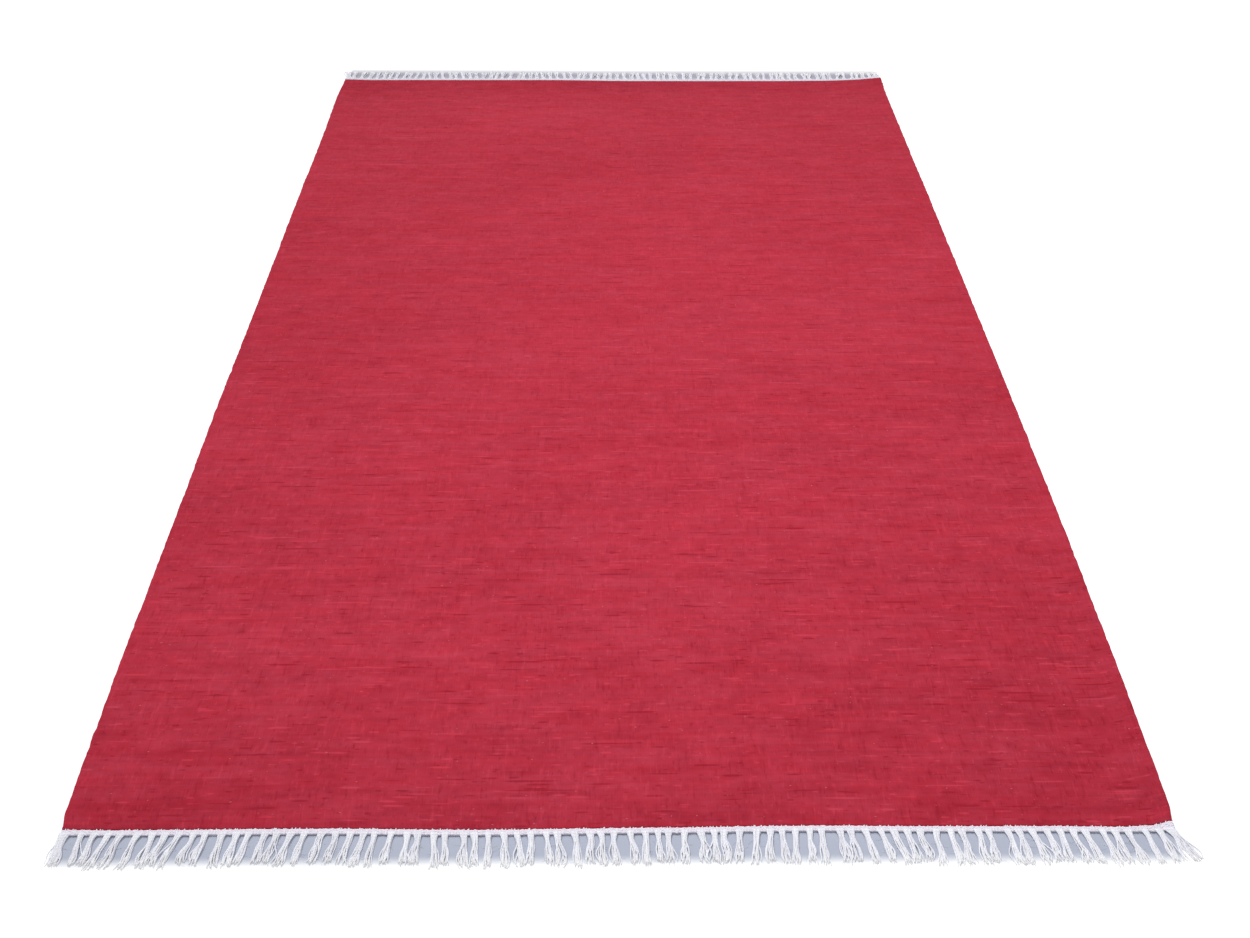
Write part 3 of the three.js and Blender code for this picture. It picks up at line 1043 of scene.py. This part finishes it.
# The cotton: its plies and their turns in a metre, the groove between them, its fuzz and its paler loose tips
HEADING_PLIES = 3.0
HEADING_TURNS = 260.0
FRINGE_PLIES = 2.0
FRINGE_TURNS = 230.0
# Painted shade in the grooves between the plies
PAINTED_GROOVE_SHADE = 0.86
PLY_DEPTH = 0.3 * MM
COTTON_FUZZ = 1800.0
COTTON_FUZZ_DEPTH = 0.1 * MM
COTTON_FUZZ_SHADES = (0.97, 1.03)
TIPS_FROM = 36 * MM
TIPS_FULL = 60 * MM


def cotton_material(name, plies, turns, shade, light):
    """White cotton yarn with its twist, its fuzz, a tone of its own for each yarn and paler loose tips."""
    material, tree, shader = new_material(name, 0.92, 0.05, 0.1)
    yarn = tree.nodes.new("ShaderNodeUVMap")
    yarn.uv_map = "yarn"
    ply = use_group(tree, ply_group, Yarn=yarn.outputs["UV"], Plies=plies, Turns=turns)
    body = tree.nodes.new("ShaderNodeTexCoord").outputs["Object"]
    fuzz = use_group(tree, fuzz_group, Place=body, Fineness=COTTON_FUZZ)
    own = tree.nodes.new("ShaderNodeAttribute")
    own.attribute_name = "tone"
    pale = blend(tree, "MIX", own.outputs["Fac"], shade, light)
    from_middle = calc(tree, "ABSOLUTE", split_place(tree, body)["Y"])
    out = calc(tree, "SUBTRACT", from_middle, FIELD_LENGTH / 2)
    pale = blend(tree, "MIX", remap(tree, out, TIPS_FROM, TIPS_FULL), pale, COTTON_TIPS)
    # Painted shade: darker in the grooves between the plies.
    groove = remap(tree, ply["Groove"], 0.0, 1.0, 1.0, PAINTED_GROOVE_SHADE)
    fibres = remap(tree, fuzz["Tone"], 0.0, 1.0, *COTTON_FUZZ_SHADES)
    shade_and_fuzz = calc(tree, "MULTIPLY", groove, fibres)
    tree.links.new(blend(tree, "MULTIPLY", 1.0, pale, grey(tree, shade_and_fuzz)), shader.inputs["Base Color"])
    fine = bump(tree, fuzz["Relief"], 0.25, COTTON_FUZZ_DEPTH)
    tree.links.new(bump(tree, ply["Relief"], 0.4, PLY_DEPTH, fine), shader.inputs["Normal"])
    return material


def floor_material():
    """A plain white floor, with a soft blue-grey shadow painted among each fringe that fades out at its tips.
    """
    material, tree, shader = new_material("pale_floor", 0.95, 0.0, 0.0)
    body = tree.nodes.new("ShaderNodeTexCoord").outputs["Object"]
    place = split_place(tree, body)
    across = calc(tree, "ABSOLUTE", place["X"])
    side_start, side_end = (FIELD_WIDTH / 2 - inset for inset in PAINTED_SHADOW_SIDE_FADE)
    beside = remap(tree, across, side_start, side_end, 1.0, 0.0)
    colour = FLOOR_WHITE
    shade = 0.0
    for row in FLOOR_PAINTED_SHADOWS:
        out = calc(tree, "MULTIPLY_ADD", place["Y"], row["end"], -FIELD_LENGTH / 2)
        fade_start, fade_end = row["fade"]
        among = remap(tree, out, fade_start * MM, fade_end * MM, 1.0, 0.0)
        among = calc(tree, "MULTIPLY", among, beside)
        among = calc(tree, "MULTIPLY", among, remap(tree, out, *PAINTED_SHADOW_STARTS))
        by_heading = remap(tree, out, PAINTED_SHADOW_LIFT_START, row["lifted_to"] * MM, row["lift"], 1.0)
        tone = blend(tree, "MULTIPLY", 1.0, row["tone"], grey(tree, by_heading))
        colour = blend(tree, "MIX", among, colour, tone)
        shade = calc(tree, "ADD", shade, among)
    tree.links.new(colour, shader.inputs["Base Color"])
    # The floor glows evenly, but not where the shadow is painted.
    glow = blend(tree, "MIX", shade, FLOOR_GLOW, NO_GLOW)
    tree.links.new(glow, shader.inputs["Emission Color"])
    shader.inputs["Emission Strength"].default_value = 1.0
    return material


# The camera, the light and the floor

CAMERA_PLACE = (-0.01797, -2.22428, 1.48701)
CAMERA_PITCH = 40.225
CAMERA_YAW = 0.984
CAMERA_ROLL = 0.564
CAMERA_LENS = 36.765
SENSOR_WIDTH = 36
FLOOR_SIZE = 60
LAMP_PLACE = (0.147, -0.005, 1.6)
LAMP_WIDTH = 0.5
LAMP_LENGTH = 2.0
LAMP_POWER = 11.8
SUN_ANGLE = 14
SUN_POWER = 1.40
SUN_TILT = 32
SUN_TURN = 40
WORLD_STRENGTH = 0.465


def make_camera():
    """The camera at the photograph's place and angle."""
    data = bpy.data.cameras.new("camera")
    data.lens = CAMERA_LENS
    data.sensor_width = SENSOR_WIDTH
    data.sensor_fit = "HORIZONTAL"
    data.clip_start = 0.05
    data.clip_end = 200
    camera = bpy.data.objects.new("camera", data)
    turned = Matrix.Rotation(math.radians(-CAMERA_YAW), 4, "Z")
    tilted = Matrix.Rotation(math.radians(90 - CAMERA_PITCH), 4, "X")
    rolled = Matrix.Rotation(math.radians(CAMERA_ROLL), 4, "Z")
    camera.matrix_world = Matrix.Translation(CAMERA_PLACE) @ turned @ tilted @ rolled
    bpy.context.scene.collection.objects.link(camera)
    bpy.context.scene.camera = camera


def make_light():
    """Soft studio light: a white surround, a long lamp overhead and a broad light from the far left."""
    world = bpy.data.worlds.new("studio")
    world.use_nodes = True
    background = world.node_tree.nodes["Background"]
    background.inputs["Color"].default_value = (1, 1, 1, 1)
    seen = world.node_tree.nodes.new("ShaderNodeLightPath").outputs["Is Camera Ray"]
    strength = calc(world.node_tree, "MULTIPLY_ADD", seen, 1.0 - WORLD_STRENGTH, WORLD_STRENGTH)
    world.node_tree.links.new(strength, background.inputs["Strength"])
    bpy.context.scene.world = world
    data = bpy.data.lights.new("overhead_lamp", "AREA")
    data.shape = "RECTANGLE"
    data.size = LAMP_WIDTH
    data.size_y = LAMP_LENGTH
    data.energy = LAMP_POWER
    lamp = bpy.data.objects.new("overhead_lamp", data)
    lamp.location = LAMP_PLACE
    bpy.context.scene.collection.objects.link(lamp)
    data = bpy.data.lights.new("window_lamp", "SUN")
    data.energy = SUN_POWER
    data.angle = math.radians(SUN_ANGLE)
    window = bpy.data.objects.new("window_lamp", data)
    turned = Matrix.Rotation(math.radians(SUN_TURN), 4, "Z")
    window.matrix_world = turned @ Matrix.Rotation(math.radians(-SUN_TILT), 4, "X")
    bpy.context.scene.collection.objects.link(window)
    bpy.context.scene.view_settings.view_transform = "Standard"


def make_floor():
    """The plain floor under the rug."""
    bm = bmesh.new()
    bmesh.ops.create_grid(bm, x_segments=1, y_segments=1, size=FLOOR_SIZE / 2)
    mesh = bpy.data.meshes.new("floor")
    bm.to_mesh(mesh)
    bm.free()
    mesh.materials.append(floor_material())
    floor = bpy.data.objects.new("floor", mesh)
    bpy.context.scene.collection.objects.link(floor)
    return floor


# The rug

make_camera()
make_light()
make_floor()

red_weft = weft_material()
heading_cotton = cotton_material("twined_cotton", HEADING_PLIES, HEADING_TURNS, HEADING_SHADE, HEADING_LIGHT)
fringe_cotton = cotton_material("fringe_cotton", FRINGE_PLIES, FRINGE_TURNS, COTTON_SHADE, COTTON_LIGHT)

cloth = add_piece("woven_field_cloth", cloth_mesh(), red_weft, ["woven_field"])
trimmings = []
for end, end_name in ((NEAR, "near"), (FAR, "far")):
    node = end_name + "_fringe"
    yarns, fibres = lock_pieces(end)
    stitches = heading_stitches(yarn_template(YARN_SIDES, STITCH_RINGS), end, lock_forms(end))
    trimmings += [
        add_piece(end_name + "_heading_web", web_mesh(end), heading_cotton, [node]),
        add_piece(end_name + "_heading_twining", heading_mesh(end), heading_cotton, [node]),
        add_piece(end_name + "_heading_stitches", stitches, heading_cotton),
        add_piece(end_name + "_fringe_yarns", yarns, fringe_cotton, [node]),
        add_piece(end_name + "_fringe_fibres", fibres, fringe_cotton),
    ]
